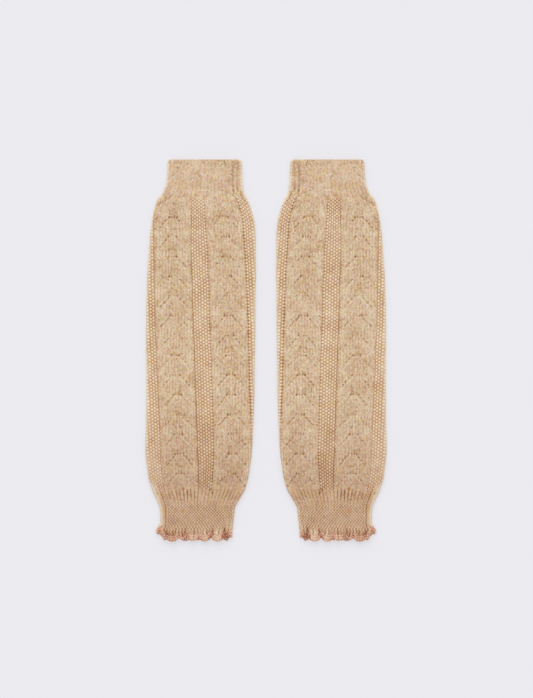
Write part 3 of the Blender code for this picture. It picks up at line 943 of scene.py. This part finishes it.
def fibre_rings(roots):
    """Points of every fibre: one after another, station by station, side by side."""
    random = np.random.default_rng(SEED + 72)
    start, out = roots[:, 0], roots[:, 1]
    way = FIBRE_RISE * out + random.normal(0, 0.6, out.shape)
    way /= np.linalg.norm(way, axis=1, keepdims=True)
    bend = random.normal(0, FIBRE_CURL, out.shape)
    length = random.uniform(*FIBRE_LENGTHS, (len(out), 1))
    first = np.cross(way, bend)
    first /= np.linalg.norm(first, axis=1, keepdims=True)
    second = np.cross(way, first)
    rings = []
    for share in np.linspace(0, 1, FIBRE_STATIONS):
        middle = start - 0.3 * out + length * (way * share + bend * share**2)
        middle[:, 2] = np.maximum(middle[:, 2], LOWEST_FIBRE)
        radius = FIBRE_THICKNESS * (1 - 0.6 * share)
        for angle in np.arange(FIBRE_SIDES) * 2 * np.pi / FIBRE_SIDES:
            rings.append(middle + radius * (np.cos(angle) * first + np.sin(angle) * second))
    return np.stack(rings, axis=1)


def fuzz(name, skins_list, side, material):
    """Short curled fibres, each a closed three-sided thread."""
    points = fibre_rings(fibre_roots(skins_list))
    count, corners = points.shape[:2]
    end = np.arange(FIBRE_SIDES)
    faces = [
        grid_faces(FIBRE_STATIONS, FIBRE_SIDES)[:, [0, 3, 2, 1]],
        np.array([end[::-1], corners - FIBRE_SIDES + end]),
    ]
    firsts = corners * np.arange(count)[:, None, None]
    faces = [(part + firsts).reshape(-1, part.shape[1]) for part in faces]
    add_piece(name, points, faces, side, material)


class Wire:
    """A number or colour that runs through a material's nodes. Numbers take arithmetic."""

    def __init__(self, nodes, socket):
        self.nodes = nodes
        self.socket = socket

    def math(self, operation, *others):
        return self.nodes.add("Math", dict(enumerate((self, *others))), 0, operation=operation)

    def __add__(self, other):
        return self.math("ADD", other)

    def __sub__(self, other):
        return self.math("SUBTRACT", other)

    def __mul__(self, other):
        return self.math("MULTIPLY", other)

    def power(self, exponent):
        return self.math("POWER", exponent)

    def fraction(self):
        return self.math("FRACT")

    def floor(self):
        return self.math("FLOOR")

    def aside(self):
        """Distance from the middle of each unit, 0 to 0.5."""
        return (self.fraction() - 0.5).math("ABSOLUTE")

    def arch(self):
        """A half wave: 0 at 0 and 1, and 1 half way between."""
        return (self * np.pi).math("SINE")

    def at_most(self, most):
        return self.math("MINIMUM", most)

    def less(self, share=1.0):
        """1 where this number is 0, and less by the share where it is 1."""
        return self * -share + 1.0

    def ramp(self, low, high, most=1.0):
        """0 at low and most at high, and level outside them."""
        inputs = {"Value": self, "From Min": low, "From Max": high, "To Max": most}
        return self.nodes.add("MapRange", inputs, "Result")

    def blend(self, first, second):
        """The first number where this one is 0, and the second where it is 1."""
        return first + (second - first) * self


class Nodes:
    """Short ways to add the nodes of one material."""

    def __init__(self, tree):
        self.tree = tree

    def feed(self, node, inputs):
        """Sets a node's inputs to numbers or colours, or links wires to them."""
        for key, value in inputs.items():
            if isinstance(value, Wire):
                self.tree.links.new(value.socket, node.inputs[key])
            elif isinstance(value, tuple):
                node.inputs[key].default_value = (*value, 1.0)
            else:
                node.inputs[key].default_value = value

    def add(self, kind, inputs, output, **settings):
        """Adds a node with these settings and inputs, and gives the wire from an output."""
        node = self.tree.nodes.new("ShaderNode" + kind)
        for key, value in settings.items():
            setattr(node, key, value)
        self.feed(node, inputs)
        return Wire(self, node.outputs[output])

    def value(self, key):
        return self.add("Attribute", {}, "Fac", attribute_name=key)

    def place_on(self, name):
        """The two numbers of a map."""
        place = self.add("UVMap", {}, "UV", uv_map=name)
        return [self.add("SeparateXYZ", {"Vector": place}, key) for key in "XY"]

    def mix(self, factor, first, second, blend_type="MIX"):
        inputs = {"Factor": factor, "A": first, "B": second}
        return self.add("Mix", inputs, "Result", data_type="RGBA", blend_type=blend_type)

    def noise(self, size, seed, detail=2.0):
        """Noise in the piece's own space with features about this many millimetres across."""
        place = self.add("TexCoord", {}, "Object")
        inputs = {"Vector": place, "W": seed, "Scale": 1 / (size * MM), "Detail": detail}
        return self.add("TexNoise", inputs, "Fac", noise_dimensions="4D")

    def joined(self, u, v, seed):
        return self.add("CombineXYZ", {"X": u, "Y": v, "Z": seed}, "Vector")

    def streaks(self, u, v, seed, detail=1.0):
        """Noise over two numbers, one feature to each unit of both."""
        inputs = {"Vector": self.joined(u, v, seed), "Scale": 1.0, "Detail": detail}
        return self.add("TexNoise", inputs, "Fac")

    def chances(self, u, v, seed, *keys):
        """Random numbers from 0 to 1 that change with every step of u and v."""
        colour = self.add("TexWhiteNoise", {"Vector": self.joined(u, v, seed)}, "Color")
        return [self.add("SeparateColor", {"Color": colour}, key) for key in keys]

    def bump(self, height, distance):
        return self.add("Bump", {"Height": height, "Distance": distance * MM}, "Normal")


def slanting(across, along, least):
    """Height of a yarn that slants across a stitch; least is what is left at its ends."""
    slant = (along + across * YARN_SLANT).fraction()
    return across.arch().power(YARN_ROUND) * (slant.arch().power(YARN_ROUND) * 0.6 + least)


def plain_yarn(u, v):
    """Height of the two slanting yarns of each plain stitch, 0 to 1."""
    return slanting(u.aside() * 2, v, 0.4)


def seed_yarn(u, v):
    """Height of the beads of seed stitch, 0 to 1."""
    aside = (u - 0.5).math("PINGPONG", 1.0)
    below = v.math("PINGPONG", 1.0)
    one = (aside * STITCH).power(2.0) + (below * COURSE).power(2.0)
    other = (aside.less() * STITCH).power(2.0) + (below.less() * COURSE).power(2.0)
    return (one.at_most(other).power(0.5) * (1 / BEAD_REACH)).less().math("MAXIMUM", 0.0)


def rib_yarn(u, v):
    """Height of the yarns of 1x1 rib, 0 to 1."""
    aside = u.aside() * 2
    yarn = slanting((aside * (1 / RIDGE_SHARE)).at_most(1.0), v, 0.2)
    return yarn * 0.9 + aside.ramp(1.0, 0.45, 0.3)


Yarns = namedtuple("Yarns", "height tone across down varies mixed")


def yarn_number(nodes, u, v, rib_u, rib_v):
    """Two whole numbers that tell each yarn of each stitch from the next."""
    slant = u.aside() * 2 * YARN_SLANT
    rib_slant = (rib_u.aside() * (2 / RIDGE_SHARE)).at_most(1.0) * YARN_SLANT
    column = u.floor()
    seeded, ribbed = [nodes.value(key).math("GREATER_THAN", 0.5) for key in ("seed", "ribbed")]
    across = ribbed.blend(seeded.blend((u * 2).floor(), column), (rib_u * 2).floor())
    bead = ((v + 1 + column) * 0.5).floor()
    down = ribbed.blend(seeded.blend((v + slant).floor(), bead), (rib_v + rib_slant).floor())
    return across, down


# light is pale yarn and the painted highlight; gap is a dark fleck and the painted shade.
WoolColours = namedtuple("WoolColours", "base light gap pink gold orange ash cream")
OATMEAL = WoolColours(
    base=(0.7, 0.483, 0.308),
    light=(0.9, 0.79, 0.6),
    gap=(0.35, 0.15, 0.05),
    pink=(0.77, 0.44, 0.35),
    gold=(0.77, 0.58, 0.25),
    orange=(0.74, 0.41, 0.185),
    ash=(0.65, 0.52, 0.4),
    cream=(0.9, 0.79, 0.57),
)
TERRACOTTA = WoolColours(
    base=(0.765, 0.42, 0.285),
    light=(0.94, 0.72, 0.53),
    gap=(0.38, 0.13, 0.065),
    pink=(0.76, 0.39, 0.3),
    gold=(0.8, 0.52, 0.33),
    orange=(0.74, 0.38, 0.23),
    ash=(0.74, 0.5, 0.4),
    cream=(0.93, 0.75, 0.56),
)
ANKLE_TINT = (0.86, 0.8, 0.79)
CUFF_TINT = (1.01, 1.05, 1.11)


def knitted(nodes, u, v):
    """The yarns of the knitting: their height, their painted shade and highlight, and how much each
    differs from the next.
    """
    rib_u, rib_v = nodes.place_on("ribs")
    seeded, ribbed, deeper = [nodes.value(key) for key in ("seed", "ribbed", "deeper")]
    plain = plain_yarn(u, v)
    beads = seed_yarn(u, v)
    ribs = rib_yarn(rib_u, rib_v)
    plain_tone = (plain - 0.4) * 1.3 - u.aside().ramp(0.25, 0.5) * 0.4 + 0.1
    # Deeper gathers and the ankle's ribs get stronger painted shade and highlight.
    bead_tone = (beads - 0.4) * (deeper * 3.5 + 3.3)
    rib_tone = (ribs - 0.5) * (deeper * 1.5 + 0.9)
    tone = ribbed.blend(seeded.blend(plain_tone, bead_tone), rib_tone)
    return Yarns(
        ribbed.blend(seeded.blend(plain, beads), ribs),
        tone * nodes.value("smooth").less(0.7),
        *yarn_number(nodes, u, v, rib_u, rib_v),
        seeded.less(0.7).at_most(ribbed.less(0.3)),
        seeded.less(0.45),
    )


def looped(nodes, u, v):
    """The same for the edging, whose loops are relief and whose strands are streaks with painted
    shade and highlight.
    """
    strands = nodes.streaks(u * 2.2, v * 0.5 + u * 0.4, 3.0)
    tone = strands.ramp(0.3, 0.7, 1.6) - 0.8
    return Yarns(strands, tone, (u * 1.5).floor(), (v * 0.8).floor(), 1.0, 1.0)


def new_material(name, inputs):
    """A material whose shader has these inputs."""
    material = bpy.data.materials.new(name)
    material.use_nodes = True
    set_shader(material, inputs)
    return material


def set_shader(material, inputs):
    """Feeds a material's shader."""
    tree = material.node_tree
    Nodes(tree).feed(tree.nodes["Principled BSDF"], inputs)


def wool(name, colours, pattern):
    """Melange wool: flecked yarn, with painted shade in the gaps and painted highlights on the
    beads.
    """
    material = new_material(name, {
        "Roughness": 0.9,
        "Specular IOR Level": 0.15,
        "Sheen Weight": 0.15,
        "Sheen Roughness": 0.6,
        "Sheen Tint": colours.light,
    })
    nodes = Nodes(material.node_tree)
    u, v = nodes.place_on("stitches")
    yarns = pattern(nodes, u, v)
    place = (yarns.across, yarns.down)
    lightness, warmth, blush = nodes.chances(*place, 3.0, "Red", "Green", "Blue")
    spare, odd = nodes.chances(*place, 5.0, "Red", "Green")
    uneven = (
        (lightness, yarns.varies),
        (nodes.streaks(u * 5.0, v * 1.6 + u * 1.5, 1.0, 2.0), 4.0),
        (nodes.streaks(u * 1.1, v * 0.3, 4.0), 0.8),
        (nodes.noise(14.0, 2.0), 1.4),
    )
    # The tone holds painted shade and highlight, and the yarns' random unevenness.
    tone = yarns.tone + nodes.value("shade")
    for chance, strength in uneven:
        tone = tone + (chance - 0.5) * strength
    yarn_colours = (
        (warmth.ramp(0.5, 0.0), colours.orange),
        (warmth.ramp(0.5, 1.0), colours.ash),
        (blush.ramp(0.5, 0.0, 0.8), colours.pink),
        (blush.ramp(0.5, 1.0, 0.8), colours.gold),
        (odd.ramp(0.8, 0.95, 0.5), colours.cream),
        (spare.ramp(0.85, 0.97, 0.5), colours.gap),
    )
    colour = colours.base
    for share, other in yarn_colours:
        colour = nodes.mix(share * yarns.mixed, colour, other)
    # Painted highlight in the light colour where the tone is high; painted shade in the gap colour
    # where low.
    colour = nodes.mix(tone.ramp(0.0, 1.6), colour, colours.light)
    colour = nodes.mix(nodes.value("gold").ramp(0.1, 0.9), colour, colours.orange)
    colour = nodes.mix(tone.ramp(0.0, -1.8), colour, colours.gap)
    for key, tint in (("ankle", ANKLE_TINT), ("pale", CUFF_TINT)):
        colour = nodes.mix(nodes.value(key), colour, tint, "MULTIPLY")
    height = yarns.height + nodes.noise(0.35, 21.0, 3.0) * 0.3
    set_shader(material, {"Base Color": colour, "Normal": nodes.bump(height, 0.4)})
    return material


def fibre_wool():
    """Plain pale wool for the stray fibres."""
    inputs = {"Base Color": OATMEAL.light, "Roughness": 0.8, "Specular IOR Level": 0.15}
    return new_material("stray_fibres", inputs)


def floor():
    """A pale light table: mostly its own glow, so that shadows on it stay faint."""
    bpy.ops.mesh.primitive_plane_add(size=FLOOR_SIZE, location=(0, 0, -FLOOR_BELOW * MM))
    table = bpy.context.object
    table.name = "floor"
    table.data.materials.append(new_material("pale_floor", {
        "Base Color": tuple((1 - FLOOR_GLOW) * part for part in FLOOR_COLOUR),
        "Roughness": 1.0,
        "Specular IOR Level": 0.0,
        "Emission Color": FLOOR_COLOUR,
        "Emission Strength": FLOOR_GLOW,
    }))


def studio_light():
    """An even pale sky, and one broad lamp past the top cuffs that models the relief."""
    world = bpy.data.worlds.new("studio")
    world.use_nodes = True
    inputs = {"Color": (1.0, 1.0, 1.0), "Strength": SKY_STRENGTH}
    Nodes(world.node_tree).feed(world.node_tree.nodes["Background"], inputs)
    bpy.context.scene.world = world
    lamp = bpy.data.lights.new("broad_lamp", "SUN")
    lamp.energy = LAMP_STRENGTH
    lamp.angle = LAMP_ANGLE
    lamp_object = linked("broad_lamp", lamp)
    lamp_object.rotation_mode = "QUATERNION"
    lamp_object.rotation_quaternion = Vector(LAMP_FROM).to_track_quat("Z", "Y")


def camera():
    """The photo's view, from straight above."""
    data = bpy.data.cameras.new("camera")
    data.sensor_width = CAMERA_SENSOR
    data.lens = CAMERA_LENS
    eye = linked("camera", data)
    eye.location = Vector(CAMERA_AT) * MM
    bpy.context.scene.camera = eye


Kind = namedtuple("Kind", "name skins slot start end")


def declare_sheet(start, end):
    """Works out the flat size and area of a piece, all round the tube, from its outline, and keeps
    neither.
    """
    width = Rings(np.linspace(start, end, SHEET_STEPS)).width
    area = 2 * width.mean() * (end - start)
    flat = (2 * width.max() * MM, max(end - start, SHORTEST_SHEET) * MM)
    area * MM * MM


def main():
    bpy.context.scene.view_settings.view_transform = "Standard"
    materials = {
        "oatmeal_wool": wool("oatmeal_knit", OATMEAL, knitted),
        "terracotta_wool": wool("terracotta_loops", TERRACOTTA, looped),
    }
    stray = fibre_wool()
    kinds = (
        Kind("top_cuff", top_cuff_skins(), "oatmeal_wool", 0.0, TOP_CUFF_END),
        Kind("leg", leg_skins(), "oatmeal_wool", TOP_CUFF_END, ANKLE_START),
        Kind("ankle_cuff", ankle_cuff_skins(), "oatmeal_wool", ANKLE_START, FRILL_START),
        Kind("frill", frill_skins(), "oatmeal_wool", FRILL_START, FRILL_END),
        Kind("edging", edging_skins(), "terracotta_wool", EDGING_START, EDGING_END),
    )
    woolly = [kind.skins for kind in kinds if kind.slot == "oatmeal_wool"]
    for side_name, side in (("left", -1), ("right", 1)):
        for kind in kinds:
            name = f"{kind.name}_knit_{side_name}"
            piece = shell(name, kind.skins, side, materials[kind.slot])
            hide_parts(f"{kind.name}_{side_name}")
            declare_sheet(kind.start, kind.end)
        fuzz(f"fuzz_{side_name}", woolly, side, stray)
    floor()
    studio_light()
    camera()


main()
